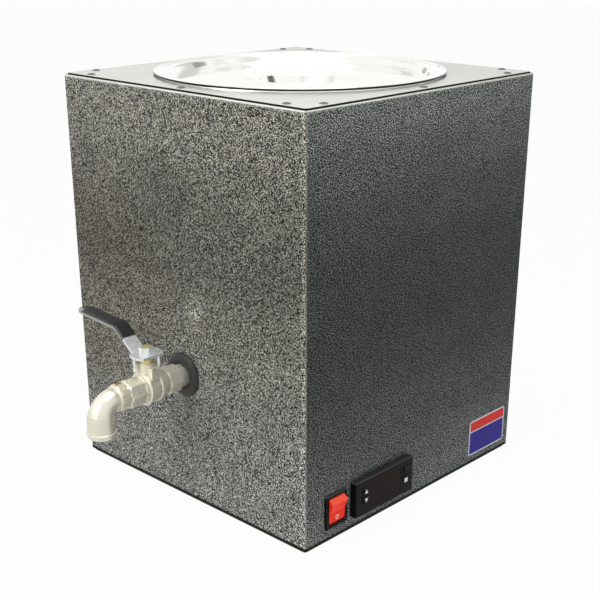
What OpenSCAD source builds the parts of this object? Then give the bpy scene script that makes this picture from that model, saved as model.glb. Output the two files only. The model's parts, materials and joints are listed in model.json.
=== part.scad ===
// Electric wax melter: a folded cabinet, a hanging pot with a dished lid, a heater band,
// a panel controller and a drain with ball valve and street elbow.
// X runs right along the valve face, Y runs back, Z is up. Lengths are in millimetres.

/* [Cabinet] */
// Width of the cabinet
cab_w = 305; // [300:1:340]
// Depth of the cabinet
cab_d = 305; // [300:1:340]
// Height of the folded cabinet
cab_h = 378; // [370:1:420]
// Thickness of the cabinet's sheet
sheet_t = 1.2; // [1:0.1:1.6]
// Outer radius of the cabinet's bends
bend_r = 2; // [1.8:0.1:3]
// Width of the flanges turned in at the top and at the bottom
flange_w = 22; // [18:1:24]
// Width of the lap behind the back seam
seam_lap = 16; // [12:1:24]
// Width of the open back seam
seam_gap = 0.5; // [0.3:0.1:1]

/* [Plates and screws] */
// Thickness of the top plate and of the base plate
plate_t = 1.2; // [1:0.1:2]
// How far the plates stay inside the cabinet's edge
plate_inset = 2; // [1:0.5:4]
// Corner radius of the plates
plate_corner = 3; // [2:0.5:6]
// Distance of the screw lines from the cabinet's edge
screw_line = 9.5; // [8:0.5:12]
// Pitch of the top plate's screws
top_pitch = 123; // [118:1:126]
// Offset of the base plate's screws from the middle
base_pitch = 92; // [84:1:96]
// Radius of a plate screw's shank
screw_r = 1.9; // [1.5:0.1:2.1]
// Radius of a plate screw's pan head
head_r = 3.6; // [3.2:0.1:4]
// Height of a plate screw's pan head
head_h = 1.2; // [1:0.1:1.8]
// Length of a plate screw under its head
screw_len = 8; // [6:0.5:12]
// Number of cooling slots in each row of the base plate
vent_count = 9; // [5:2:11]
// Length of a cooling slot
vent_len = 34; // [20:1:40]
// Width of a cooling slot
vent_w = 4; // [3:0.5:5]
// Pitch of the cooling slots
vent_pitch = 11; // [9:0.5:13]

/* [Feet] */
// Height of a rubber foot
foot_h = 8; // [7:0.5:14]
// Radius of a rubber foot where it meets the base plate
foot_r = 10; // [9:0.5:12]
// Radius of a rubber foot on the floor
foot_tip_r = 8.8; // [8:0.1:9.9]
// Distance of a foot's centre from the cabinet's edge
foot_inset = 34; // [33:1:40]
// Radius of a foot screw's shank
foot_screw_r = 2; // [1.5:0.1:2.4]

/* [Pot] */
// Outer radius of the pot's wall
pot_r = 120; // [114:0.5:121]
// Depth of the pot under its flange
pot_depth = 276; // [262:1:282]
// Thickness of the pot's sheet
pot_t = 1.2; // [0.8:0.1:1.6]
// Outer radius of the pot's flange
pot_flange_r = 131; // [130:0.5:132]
// Inner radius of the bend under the pot's flange
pot_lip_bend = 3.2; // [2.5:0.1:4]
// Inner radius of the bend at the pot's floor
pot_floor_bend = 6.8; // [5:0.1:9]

/* [Lid] */
// Outer radius of the lid's rolled rim
lid_r = 133.5; // [133:0.5:135.5]
// Radius of the roll along the lid's rim
lid_roll_r = 1; // [0.8:0.1:1.6]
// Thickness of the lid's sheet
lid_t = 0.8; // [0.6:0.1:1.2]
// Depth of the lid's dish
dish_depth = 7; // [5:0.5:9]
// Depth of the round well in the lid's middle
well_depth = 12; // [9:0.5:16]
// Radius of the well at the dish's floor
well_r = 40; // [36:1:44]
// Width of the strap handle
strap_w = 18; // [14:1:24]
// Thickness of the strap handle
strap_t = 1.5; // [1.2:0.1:2.5]
// Height of the strap handle's arch
strap_rise = 3; // [2:0.5:5]
// Length of the strap handle's welded feet
strap_foot = 9; // [7:0.5:12]

/* [Heating] */
// Height of the band heater
heater_h = 60; // [40:1:70]
// Thickness of the band heater
heater_t = 3.4; // [3:0.1:5]
// Radius of the heater's clamp screw
clamp_r = 2.5; // [2:0.1:3]
// Gap between the insulation blanket and the cabinet's wall
jacket_wall_gap = 11.3; // [10:0.1:14]
// Gap between the insulation blanket's top and the pot's rim
jacket_top_gap = 19.7; // [18:0.1:60]
// Width of the blanket's gap at the heater's clamp
jacket_gap = 64; // [60:1:80]
// Width of a blanket strap
band_w = 12; // [8:1:16]
// Radius of the temperature probe
probe_r = 3; // [2:0.1:4]
// Length of the temperature probe
probe_len = 36; // [25:1:50]
// Radius of the high limit cutout
cutout_r = 8; // [6:0.5:10]

/* [Drain] */
// Height of the drain's axis over the pot's underside
drain_rise = 20.8; // [19:0.1:28]
// Outer radius of the drain pipe
pipe_r = 10.65; // [10.2:0.05:11]
// Radius of the wax way through pipe, valve and elbow
port_r = 7; // [6:0.1:7.5]
// Radius of the coupling welded to the pot
socket_r = 14.5; // [13.5:0.1:16]
// Length of the coupling welded to the pot
socket_len = 14; // [10:0.5:16]
// Outer radius of the wall grommet
grommet_r = 20.6; // [19:0.1:24]
// How far the grommet stands out of the wall
grommet_out = 5; // [3:0.1:7]

/* [Valve] */
// Gap between the wall and the valve's inlet
valve_gap = 10.2; // [8:0.1:16]
// Circumradius of the valve's octagons
octagon_r = 13.4; // [13:0.1:14]
// Length of the inlet octagon
inlet_len = 14.1; // [14:0.1:20]
// Length of the cone between the inlet octagon and the drum
cone_len = 9.5; // [6:0.1:11]
// Radius of the ball
ball_r = 11.5; // [10.8:0.1:12]
// Wall of the valve's drum round the ball's chamber
drum_wall = 1.6; // [1.4:0.1:2.4]
// Length of the outlet octagon
outlet_len = 17.1; // [16:0.1:22]
// Height of the stem's neck over the drain's axis
neck_h = 23.4; // [22.5:0.1:26]
// Radius of the stem's neck
neck_r = 6.4; // [6:0.1:6.5]
// Radius of the stem
stem_r = 4; // [3.6:0.1:4.2]
// Distance across the stem's flats
stem_flat = 6; // [5:0.1:6.6]
// Radius of the brass gland nut
gland_r = 5.4; // [5.3:0.1:6]
// Height of the brass gland nut over the neck
gland_h = 6.1; // [4:0.1:8]
// Size of the lever nut across its flats
nut_af = 11; // [10:0.5:13]
// Height of the lever nut
nut_h = 5.5; // [4:0.1:7]

/* [Lever] */
// Thickness of the lever's steel
lever_t = 2.5; // [2:0.1:3]
// Width of the lever's blade
lever_w = 14; // [12:0.5:16]
// Reach of the lever from the stem to its tip
lever_reach = 91; // [80:1:110]
// Rise of the lever's grip over its hub
lever_rise = 21.4; // [18:0.1:26]
// Width of the vinyl grip
grip_w = 16.5; // [15:0.5:20]
// Thickness of the vinyl grip
grip_t = 4.2; // [3.8:0.1:6]
// Distance from the stem at which the grip starts
grip_from = 24; // [22:0.5:27]

/* [Elbow] */
// Radius of the elbow's tube at the valve
elbow_in_r = 10.3; // [10:0.1:11]
// Radius of the elbow's tube at the outlet
elbow_out_r = 12.3; // [11.8:0.1:13.4]
// Radius of the elbow's bend along its axis
elbow_bend = 14; // [14:0.1:17]
// Distance from the valve's end to the outlet's axis
elbow_offset = 25.6; // [25:0.1:28]
// Drop of the outlet's lip below the drain's axis
elbow_drop = 30.4; // [29:0.1:36]
// How far the bead at the outlet stands out
elbow_bead = 0.9; // [0.6:0.1:1.6]
// Number of lugs round the elbow's collar
lug_count = 10; // [8:1:12]
// Radius of the outlet's bore
outlet_r = 9.5; // [9:0.1:10.5]
// Depth of the outlet's bore
outlet_depth = 14; // [10:0.5:15]

/* [Controller] */
// Width of the controller's bezel
bezel_w = 80; // [79:0.5:82]
// Height of the controller's bezel
bezel_h = 35; // [34:0.5:38]
// How far the bezel stands out of the wall
bezel_out = 7; // [5:0.5:9]
// Width of the controller's cut-out
cutout_w = 71; // [70:0.5:72]
// Height of the controller's cut-out
cutout_h = 29; // [28:0.5:31]
// Depth of the controller's case behind the panel
case_depth = 75; // [60:1:85]
// Distance of the controller's centre from the front edge
ctl_from_front = 98; // [94:0.5:110]
// Height of the controller's centre over the cabinet's lower edge
ctl_up = 30.5; // [26:0.5:60]
// Width of the display window
display_w = 43; // [38:0.5:43]
// Height of the display window
display_h = 26; // [20:0.5:28]
// Width of a key
key_w = 9; // [8:0.1:9.2]
// Height of a key
key_h = 7.4; // [6.5:0.1:7.6]
// How far a key stands out of the bezel
key_proud = 0.8; // [0.6:0.1:1.2]
// Travel of a key
key_travel = 0.6; // [0.3:0.1:0.7]

/* [Rocker switch] */
// Width of the switch's flange
switch_w = 27.5; // [26:0.1:29]
// Height of the switch's flange
switch_h = 32.6; // [31:0.1:34]
// Thickness of the switch's flange
switch_flange = 2.4; // [1.5:0.1:3]
// Width of the rocker
rocker_w = 19.5; // [18:0.1:20.2]
// Height of the rocker
rocker_h = 26; // [24:0.1:26.2]
// Tilt of the rocker to each side, in degrees
rocker_tilt = 12; // [8:0.5:12]
// Distance of the switch's centre from the front edge
switch_from_front = 38; // [34:0.1:46]
// Height of the switch's centre over the cabinet's lower edge
switch_up = 29.2; // [26:0.1:60]

/* [Mains entry] */
// Distance of the cable gland from the cabinet's middle
gland_from_middle = 90; // [60:1:110]
// Height of the cable gland over the cabinet's lower edge
gland_up = 36; // [28:1:80]
// Radius of the cable gland's thread
gland_thread_r = 8; // [7.5:0.1:9]
// Size of the cable gland's hexagons across their flats
gland_af = 22; // [20:0.5:25]
// Radius of the cable's bore
cable_r = 3.7; // [3:0.1:4.5]

/* [Fits] */
// Radial clearance of a thread, a spigot or a turning shaft
fit = 0.05; // [0.03:0.01:0.08]
// Radial clearance of a screw in its hole
screw_fit = 0.2; // [0.1:0.05:0.4]
// Gap round the keys and the rocker
moving_gap = 0.3; // [0.25:0.05:0.4]

/* [Hidden] */
$fn = 64;
eps = 0.01;
sides = [-1, 1];

// Levels, from the floor up
base_z = foot_h;
cab_z = base_z + plate_t;
cab_top = cab_z + cab_h;
plate_top = cab_top + plate_t;
rim_z = plate_top + pot_t;
pot_floor_z = rim_z - pot_depth;
drain_z = pot_floor_z + drain_rise;

// Plates, screw lines and plate openings
plate_size = [cab_w - 2 * plate_inset, cab_d - 2 * plate_inset, plate_t];
line_x = cab_w / 2 - screw_line;
line_y = cab_d / 2 - screw_line;
plate_hole_r = pot_r + pot_lip_bend + 0.4;
foot_x = cab_w / 2 - foot_inset;
foot_y = cab_d / 2 - foot_inset;
foot_recess_r = foot_screw_r + 2.6;
foot_recess_h = foot_h / 2;
foot_nut_af = 2 * foot_screw_r + 3;
foot_nut_h = 3.2;
base_screw_xy = concat(
    [for (a = sides, b = sides) [a * line_x, b * base_pitch]],
    [for (a = sides, b = sides) [a * base_pitch, b * line_y]]
);
top_screw_xy = concat(
    [for (a = sides, i = [-1:1]) [i * top_pitch, a * line_y]],
    [for (a = sides, i = [-1:1]) [a * line_x, i * top_pitch]]
);

// The pot's and the lid's sheet, each as a path along the middle of the sheet
pot_mid_r = pot_r - pot_t / 2;
lid_lip_r = pot_mid_r + 0.5;
lid_mid_z = rim_z + lid_t / 2;
dish_z = lid_mid_z - dish_depth;
well_z = dish_z - well_depth;
dish_slope = 0.6 * dish_depth;
well_slope = 0.3 * well_depth;
strap_z = dish_z + lid_t / 2 + strap_t / 2;
strap_ramp = 12;

// Heater and blanket round the pot
heater_r = pot_r + 0.3;
heater_out_r = heater_r + heater_t;
heater_z = drain_z + socket_r + 7;
heater_mid_z = heater_z + heater_h / 2;
ear_x = 6;
ear_t = 1.5;
ear_out = 13.3;
clamp_y = heater_out_r + 7;
clamp_head_h = 4;
jacket_r = heater_out_r + 0.3;
jacket_out_r = min(cab_w, cab_d) / 2 - sheet_t - jacket_wall_gap;
jacket_z = heater_z - 4;
jacket_h = rim_z - jacket_top_gap - jacket_z;
buckle_size = [2.4, 12, band_w];
band_t = 0.8;
band_levels = [0.42, 0.88];
cutout_h2 = 7;
cutout_pos = [-34, 10];
probe_pos = [14, 0];

// The drain's stations, measured out from the valve face
s_pot = pot_r - cab_d / 2;
s_inlet = valve_gap;
s_cone = s_inlet + inlet_len;
s_drum = s_cone + cone_len;
s_ball = s_drum + ball_r - 3.5;
s_cap = s_ball + ball_r - 3;
cap_collar = 1.8;
s_outlet = s_cap + cap_collar;
s_end = s_outlet + outlet_len;
s_axis = s_end + elbow_offset;
chamber_r = ball_r + 1;
drum_r = chamber_r + drum_wall;
thread_depth = 13;
elbow_collar = 7.8;
elbow_bead_r = elbow_out_r + elbow_bead;
elbow_bead_z = 3.5;
elbow_bead_h = 1.8;
elbow_lip_chamfer = 0.8;
elbow_sag = elbow_out_r - elbow_in_r;
lug_w = 4.8;
lug_r = elbow_in_r + 2;
collar_ring_r = 1.2;
elbow_seat = 0.12;
elbow_ease = 0.4;
grommet_hole_r = pipe_r + 3.1;
seat_inset = 0.9;
seat_r = ball_r - seat_inset;
seat_t = 3.2;
cap_spigot = 2;
octagon_chamfer = 2.2;
cone_start_r = octagon_r - 1.4;
drum_rings = [[s_drum + 2, 1.2], [s_cap - 2.3, 1.7]];

// The stem's stack, measured up from the drain's axis
tang_z = ball_r - 3.1;
ball_flat_z = ball_r - 0.6;
stem_head_r = stem_r + 0.9;
stem_head_z = ball_flat_z + 0.05;
stem_head_h = 1.1;
packing_r = stem_r + 0.95;
packing_z = stem_head_z + stem_head_h + 5;
packing_h = 3.2;
hub_z = neck_h + gland_h + 0.1;
nut_z = hub_z + lever_t;
stem_top = nut_z + nut_h + 1;
stop_ear = [5.6, 8.4, 6.5];
stop_ear_z = drum_r + 0.2;
stop_tab = [9.6, 11.8];
stop_tab_w = 6;
stop_tab_z = drum_r + 1.4;
hub_r = 14.7;
hub_from = -8;
hub_to = 10;

// The lever's blade, as a path along the middle of its steel
blade_z = hub_z + lever_t / 2;
grip_z = blade_z + lever_rise;
heel_x = 11.5;
knee_x = 34.5;
knee_z = grip_z - 3.1;
blade_end_x = lever_reach - 6;
blade_path = bend_path(
    [[hub_from + 2, blade_z], [-heel_x, blade_z], [-knee_x, knee_z],
     [-blade_end_x, grip_line_z(blade_end_x)]],
    [0, 4, 9, 0]);
grip_tip = grip_w / 2;
grip_tip_x = lever_reach - grip_tip;
grip_tip_rings = 4;
grip_tip_step = 90 / grip_tip_rings;
grip_path = concat(
    bend_path(
        [[-grip_from, slope_z(grip_from)], [-knee_x, knee_z], [-grip_tip_x, grip_line_z(grip_tip_x)]],
        [0, 9, 0]),
    [for (i = [1:grip_tip_rings])
        let (x = grip_tip_x + grip_tip * sin(grip_tip_step * i))
        [-x, grip_line_z(x)]]);
nut_turn = -16;

// Controller, switch and mains entry
case_fit = 0.3;
bezel_corner = 1.2;
bezel_round = 1;
display_pos = [0.9, 0.7];
display_t = 1.4;
key_hole_depth = key_proud + key_travel + 1.6;
key_len = key_hole_depth - key_travel - 0.2 + key_proud;
key_corner = 1.2;
left_keys_x = 13.8 - bezel_w / 2;
right_keys_x = bezel_w / 2 - 9;
up_pos = [left_keys_x, 5.7];
down_pos = [left_keys_x, -3];
set_pos = [right_keys_x, -2.5];
power_pos = [right_keys_x, 6.6];
clip_size = [4, 20, 14];
switch_body_w = rocker_w + 2.2;
switch_body_h = rocker_h + 2.4;
switch_body_depth = 22;
switch_pocket_depth = 13;
pivot_r = 1.6;
pivot_len = 0.7;
pivot_z = -1.2;
rocker_back = 5;
rocker_ridge = [rocker_h / 2 - 3.1, 5.8];
rocker_end = [rocker_h / 2 + 1, -1.5];
rocker_dip = 4.1;
rocker_outline = [
    [-rocker_end[0], -rocker_back], [rocker_end[0], -rocker_back], rocker_end, rocker_ridge, [0, rocker_dip],
    [-rocker_ridge[0], rocker_ridge[1]], [-rocker_end[0], rocker_end[1]]
];
gland_body_out = 5;
gland_dome_len = 14.5;
lock_nut_h = 4.5;
block_size = [34, 20, 17];
block_pos = [-72, 92];
block_screw_r = 1.5;

// The bounding box's middle lies on the origin
front_reach = cab_d / 2 + s_axis + elbow_bead_r;
back_reach = cab_d / 2 + gland_body_out + gland_dome_len;
place_x = -(bezel_out + key_proud) / 2;
place_y = (front_reach - back_reach) / 2;

// ---- plane geometry ----

function unit(v) = v / norm(v);

function left(v) = [-v[1], v[0]];

// The points of the arc of radius r that replaces the corner b of the path a, b, c
function corner_arc(a, b, c, r, steps = 6) =
    let (
        p = unit(a - b),
        q = unit(c - b),
        half = acos(p * q) / 2,
        centre = b + unit(p + q) * r / sin(half),
        from = b + p * r / tan(half) - centre,
        to = b + q * r / tan(half) - centre,
        start = atan2(from[1], from[0]),
        turn = atan2(from[0] * to[1] - from[1] * to[0], from * to)
    )
    [for (i = [0:steps]) centre + r * [cos(start + turn * i / steps), sin(start + turn * i / steps)]];

// A path whose inner corners are bent to the given radii
function bend_path(pts, radii) =
    let (last = len(pts) - 1)
    concat(
        [pts[0]],
        [for (i = [1:last - 1]) each corner_arc(pts[i - 1], pts[i], pts[i + 1], radii[i])],
        [pts[last]]
    );

// The mitred normal at a point of a path
function mitre(path, i) =
    let (
        last = len(path) - 1,
        before = left(unit(path[max(i, 1)] - path[max(i, 1) - 1])),
        after = left(unit(path[min(i, last - 1) + 1] - path[min(i, last - 1)]))
    )
    (before + after) / (1 + before * after);

// Height of the lever's sloping stretch at a distance from the stem
function slope_z(x) = blade_z + (knee_z - blade_z) * (x - heel_x) / (knee_x - heel_x);

// Height of the lever's outer stretch at a distance from the stem
function grip_line_z(x) = grip_z + (knee_z - grip_z) * (lever_reach - x) / (lever_reach - knee_x);

// A strip of even thickness along a path
module ribbon(path, t) {
    last = len(path) - 1;
    polygon(concat(
        [for (i = [0:last]) path[i] + mitre(path, i) * t / 2],
        [for (i = [last:-1:0]) path[i] - mitre(path, i) * t / 2]
    ));
}

// ---- solid geometry ----

// The solid through a row of rings that all have as many points
module loft(rings) {
    n = len(rings[0]);
    m = len(rings);
    polyhedron(
        points = [for (ring = rings) each ring],
        faces = concat(
            [[for (i = [0:n - 1]) i]],
            [for (j = [0:m - 2], i = [0:n - 1])
                each [[j * n + i, (j + 1) * n + i, (j + 1) * n + (i + 1) % n],
                      [j * n + i, (j + 1) * n + (i + 1) % n, j * n + (i + 1) % n]]],
            [[for (i = [n - 1:-1:0]) (m - 1) * n + i]]
        )
    );
}

// An upright block with rounded upright edges, centred on the Z axis
module slab(size, r) {
    x = size[0];
    y = size[1];
    z = size[2];
    translate([r - x / 2, -y / 2, 0]) cube([x - 2 * r, y, z]);
    translate([-x / 2, r - y / 2, 0]) cube([x, y - 2 * r, z]);
    for (a = sides, b = sides) translate([a * (x / 2 - r), b * (y / 2 - r), 0]) cylinder(h = z, r = r);
}

// A block along X whose two upper edges are rounded
module arch(size, r) {
    x = size[0];
    y = size[1];
    z = size[2];
    translate([-x / 2, -y / 2, 0]) cube([x, y, z - r]);
    translate([-x / 2, r - y / 2, 0]) cube([x, y - 2 * r, z]);
    for (b = sides) translate([-x / 2, b * (y / 2 - r), z - r]) rotate([0, 90, 0]) cylinder(h = x, r = r);
}

// An upright block with rounded upright edges and rounded upper edges
module soft_slab(size, side_r, top_r) {
    intersection() {
        slab(size, side_r);
        arch(size, top_r);
        rotate(90) arch([size[1], size[0], size[2]], top_r);
    }
}

// A block whose twelve edges are all rounded, standing on Z = 0
module rolled_block(size, r) {
    x = size[0];
    y = size[1];
    z = size[2];
    intersection() {
        slab(size, r);
        translate([-x / 2, 0, z / 2]) rotate([0, 90, 0]) slab([z, y, x], r);
        translate([0, y / 2, z / 2]) rotate([90, 0, 0]) slab([x, z, y], r);
    }
}

// A ring round the Z axis
module ring(outer, inner, h) {
    difference() {
        cylinder(h = h, r = outer);
        translate([0, 0, -1]) cylinder(h = h + 2, r = inner);
    }
}

// A pan head screw whose head rests on Z = 0 and whose shank points down
module pan_screw(head, high, shank, long) {
    edge_h = 0.4 * high;
    dome_r = (head * head + (high - edge_h) * (high - edge_h)) / (2 * (high - edge_h));
    difference() {
        intersection() {
            cylinder(h = high, r = head);
            translate([0, 0, high - dome_r]) sphere(r = dome_r);
        }
        for (a = [0, 90]) rotate(a) translate([-head / 2, -0.4, high / 2]) cube([head, 0.8, high]);
    }
    translate([0, 0, -long]) cylinder(h = long + eps, r = shank);
}

// A hexagon nut with chamfered corners and a plain bore
module hex_nut(af, h, bore) {
    corner = af / sqrt(3);
    cut = (corner - af / 2) / 2;
    difference() {
        intersection() {
            cylinder(h = h, r = corner, $fn = 6);
            rotate_extrude()
                polygon([[0, 0], [af / 2, 0], [corner, cut], [corner, h - cut], [af / 2, h], [0, h]]);
        }
        translate([0, 0, -1]) cylinder(h = h + 2, r = bore);
    }
}

// A valve end: an octagon with a chamfer at its start
module octagon_end(long) {
    wide = octagon_r + 0.2;
    intersection() {
        cylinder(h = long, r = octagon_r, $fn = 8);
        rotate_extrude()
            polygon([[0, 0], [octagon_r - octagon_chamfer, 0], [wide, octagon_chamfer], [wide, long],
                     [0, long]]);
    }
}

// ---- placing ----

module place() translate([place_x, place_y, 0]) children();

// Local Z runs out of the valve face along the drain, local Y is up
module along_drain(s = 0) translate([0, -cab_d / 2 - s, drain_z]) rotate([90, 0, 0]) children();

// The drain's axis at the ball, Z up
module at_ball() translate([0, -cab_d / 2 - s_ball, drain_z]) children();

// Local X runs back along the control face, local Y is up, local Z runs out of it
module on_control_face(from_front, up) {
    translate([cab_w / 2, from_front - cab_d / 2, cab_z + up]) rotate([90, 0, 90]) children();
}

module at_controller() on_control_face(ctl_from_front, ctl_up) children();

module at_switch() on_control_face(switch_from_front, switch_up) children();

// Local Z runs out of the back wall
module at_cable_gland() {
    translate([-gland_from_middle, cab_d / 2, cab_z + gland_up]) rotate([-90, 0, 0]) children();
}

// ---- cabinet, plates and feet ----

module cabinet() {
    inner = [cab_w - 2 * sheet_t, cab_d - 2 * sheet_t, cab_h - 2 * sheet_t];
    color("dimgray") place() difference() {
        union() {
            difference() {
                translate([0, 0, cab_z]) rolled_block([cab_w, cab_d, cab_h], bend_r);
                translate([0, 0, cab_z + sheet_t]) slab(inner, bend_r - sheet_t);
                translate([flange_w - cab_w / 2, flange_w - cab_d / 2, cab_z - 1])
                    cube([cab_w - 2 * flange_w, cab_d - 2 * flange_w, cab_h + 2]);
                translate([-seam_gap / 2, cab_d / 2 - sheet_t - eps, cab_z + flange_w])
                    cube([seam_gap, sheet_t + 1, cab_h - 2 * flange_w]);
            }
            translate([-seam_lap / 2, cab_d / 2 - 2 * sheet_t, cab_z + flange_w - 1])
                cube([seam_lap, sheet_t + eps, cab_h - 2 * flange_w + 2]);
        }
        for (p = base_screw_xy) translate([p[0], p[1], cab_z - 1])
            cylinder(h = sheet_t + 2, r = screw_r + fit);
        for (p = top_screw_xy) translate([p[0], p[1], cab_top - sheet_t - 1])
            cylinder(h = sheet_t + 2, r = screw_r + fit);
        along_drain(-sheet_t - 1) cylinder(h = sheet_t + 2, r = grommet_hole_r);
        at_controller() translate([-cutout_w / 2, -cutout_h / 2, -sheet_t - 1])
            cube([cutout_w, cutout_h, sheet_t + 2]);
        at_switch() translate([-switch_body_w / 2 - fit, -switch_body_h / 2 - fit, -sheet_t - 1])
            cube([switch_body_w + 2 * fit, switch_body_h + 2 * fit, sheet_t + 2]);
        at_cable_gland() translate([0, 0, -sheet_t - 1])
            cylinder(h = sheet_t + 2, r = gland_thread_r + screw_fit);
    }
}

module top_plate() {
    color("gainsboro") place() difference() {
        translate([0, 0, cab_top]) slab(plate_size, plate_corner);
        translate([0, 0, cab_top - 1]) cylinder(h = plate_t + 2, r = plate_hole_r);
        for (p = top_screw_xy) translate([p[0], p[1], cab_top - 1])
            cylinder(h = plate_t + 2, r = screw_r + screw_fit);
    }
}

module top_plate_screws() {
    color("silver") place() for (p = top_screw_xy) translate([p[0], p[1], plate_top])
        pan_screw(head_r, head_h, screw_r, screw_len);
}

module base_plate() {
    color("darkgray") place() difference() {
        translate([0, 0, base_z]) slab(plate_size, plate_corner);
        for (p = base_screw_xy) translate([p[0], p[1], base_z - 1])
            cylinder(h = plate_t + 2, r = screw_r + screw_fit);
        for (a = sides, b = sides) translate([a * foot_x, b * foot_y, base_z - 1])
            cylinder(h = plate_t + 2, r = foot_screw_r + screw_fit);
        for (a = sides) translate([block_pos[0] + a * block_size[0] / 3, block_pos[1], base_z - 1])
            cylinder(h = plate_t + 2, r = block_screw_r + screw_fit);
        for (a = sides, i = [0:vent_count - 1])
            translate([(i - (vent_count - 1) / 2) * vent_pitch, a * vent_len * 0.7, base_z - 1])
                slab([vent_w, vent_len, plate_t + 2], vent_w / 2 - eps);
    }
}

module base_plate_screws() {
    color("silver") place() for (p = base_screw_xy) translate([p[0], p[1], base_z]) rotate([180, 0, 0])
        pan_screw(head_r, head_h, screw_r, screw_len);
}

module rubber_feet() {
    color("black") place() for (a = sides, b = sides) translate([a * foot_x, b * foot_y, 0]) difference() {
        cylinder(h = foot_h, r1 = foot_tip_r, r2 = foot_r);
        translate([0, 0, -1]) cylinder(h = foot_recess_h + 1, r = foot_recess_r);
        cylinder(h = foot_h + 1, r = foot_screw_r + screw_fit);
    }
}

module foot_screws() {
    color("silver") place() for (a = sides, b = sides) translate([a * foot_x, b * foot_y, foot_recess_h])
        rotate([180, 0, 0])
            pan_screw(foot_recess_r - 0.6, 2, foot_screw_r, foot_h + plate_t + 5 - foot_recess_h);
}

module foot_nuts() {
    color("silver") place() for (a = sides, b = sides) translate([a * foot_x, b * foot_y, cab_z])
        hex_nut(foot_nut_af, foot_nut_h, foot_screw_r + fit);
}

// ---- pot and lid ----

module melting_pot() {
    path = bend_path(
        [[pot_flange_r, rim_z - pot_t / 2], [pot_mid_r, rim_z - pot_t / 2],
         [pot_mid_r, pot_floor_z + pot_t / 2], [0, pot_floor_z + pot_t / 2]],
        [0, pot_lip_bend + pot_t / 2, pot_floor_bend + pot_t / 2, 0]);
    color("lightgray") place() difference() {
        rotate_extrude() ribbon(path, pot_t);
        translate([0, -pot_r / 2, drain_z]) rotate([90, 0, 0]) cylinder(h = pot_r, r = port_r + 1.5);
    }
}

module pot_socket() {
    color("silver") place() difference() {
        along_drain(s_pot - 4) cylinder(h = socket_len + 4, r = socket_r);
        translate([0, 0, drain_z - 2 * socket_r]) cylinder(h = 4 * socket_r, r = pot_r + fit);
        along_drain(s_pot - 5) cylinder(h = socket_len + 6, r = pipe_r + fit);
    }
}

module lid() {
    path = bend_path(
        [[lid_r - lid_roll_r, lid_mid_z], [lid_lip_r, lid_mid_z], [lid_lip_r - dish_slope, dish_z],
         [well_r, dish_z], [well_r - well_slope, well_z], [0, well_z]],
        [0, 2.5, 4, 2.5, 4, 0]);
    color("whitesmoke") place() {
        rotate_extrude() ribbon(path, lid_t);
        rotate_extrude() translate([lid_r - lid_roll_r, rim_z + lid_roll_r + 0.1]) circle(r = lid_roll_r);
    }
}

module lid_handle() {
    span = well_r + 2;
    half = bend_path(
        [[0, strap_z + strap_rise], [span - strap_ramp, strap_z + strap_rise], [span, strap_z],
         [span + strap_foot, strap_z]],
        [0, 8, 8, 0]);
    last = len(half) - 1;
    path = concat([for (i = [last:-1:1]) [-half[i][0], half[i][1]]], [for (i = [1:last]) half[i]]);
    color("whitesmoke") place() rotate(45) translate([0, strap_w / 2, 0]) rotate([90, 0, 0])
        linear_extrude(strap_w) ribbon(path, strap_t);
}

// ---- heating ----

module band_heater() {
    color("goldenrod") place() difference() {
        union() {
            translate([0, 0, heater_z]) ring(heater_out_r, heater_r, heater_h);
            translate([-ear_x - ear_t, heater_out_r - 2, heater_z])
                cube([2 * (ear_x + ear_t), ear_out, heater_h]);
        }
        translate([-ear_x, heater_r - 2, heater_z - 1]) cube([2 * ear_x, 2 * ear_out, heater_h + 2]);
        translate([0, clamp_y, heater_mid_z]) rotate([0, 90, 0])
            cylinder(h = 4 * ear_x, r = clamp_r + screw_fit, center = true);
    }
}

module heater_clamp_screw() {
    color("silver") place() translate([0, clamp_y, heater_mid_z]) rotate([0, 90, 0]) {
        translate([0, 0, -ear_x - ear_t - 2 * clamp_r])
            cylinder(h = 2 * (ear_x + ear_t + clamp_r), r = clamp_r);
        translate([0, 0, ear_x + ear_t]) difference() {
            cylinder(h = clamp_head_h, r = 1.7 * clamp_r);
            translate([0, 0, 1.5]) cylinder(h = clamp_head_h, r = clamp_r, $fn = 6);
        }
        translate([0, 0, -ear_x - ear_t - clamp_head_h]) hex_nut(3.2 * clamp_r, clamp_head_h, clamp_r - eps);
    }
}

module heater_terminals() {
    color("ivory") place() for (a = sides) rotate(90 + a * 9) difference() {
        translate([heater_out_r - 0.6, 0, heater_mid_z]) rotate([0, 90, 0]) {
            cylinder(h = 8.5, r = 4.5);
            cylinder(h = 14.5, r = 2);
            translate([0, 0, 9.5]) hex_nut(7, 3, 1.9);
        }
        translate([0, 0, heater_z]) cylinder(h = heater_h, r = heater_out_r + fit);
    }
}

module insulation_jacket() {
    color("khaki") place() difference() {
        translate([0, 0, jacket_z]) ring(jacket_out_r, jacket_r, jacket_h);
        translate([-jacket_gap / 2, 0, jacket_z - 1])
            cube([jacket_gap, jacket_out_r + 1, heater_h + 9]);
    }
}

module jacket_straps() {
    color("silver") place() for (level = band_levels)
        translate([0, 0, jacket_z + level * jacket_h - band_w / 2]) {
            ring(jacket_out_r + fit + band_t, jacket_out_r + fit, band_w);
            rotate(135) translate([jacket_out_r + band_t / 2, -buckle_size[1] / 2, 0]) cube(buckle_size);
        }
}

module temperature_probe() {
    color("silver") place() translate([probe_pos[0], probe_pos[1], pot_floor_z - probe_r])
        rotate([0, 90, 0]) {
            cylinder(h = probe_len, r = probe_r);
            sphere(r = probe_r);
            translate([0, 0, probe_len]) cylinder(h = 8, r1 = probe_r, r2 = 0.6 * probe_r);
        }
}

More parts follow.
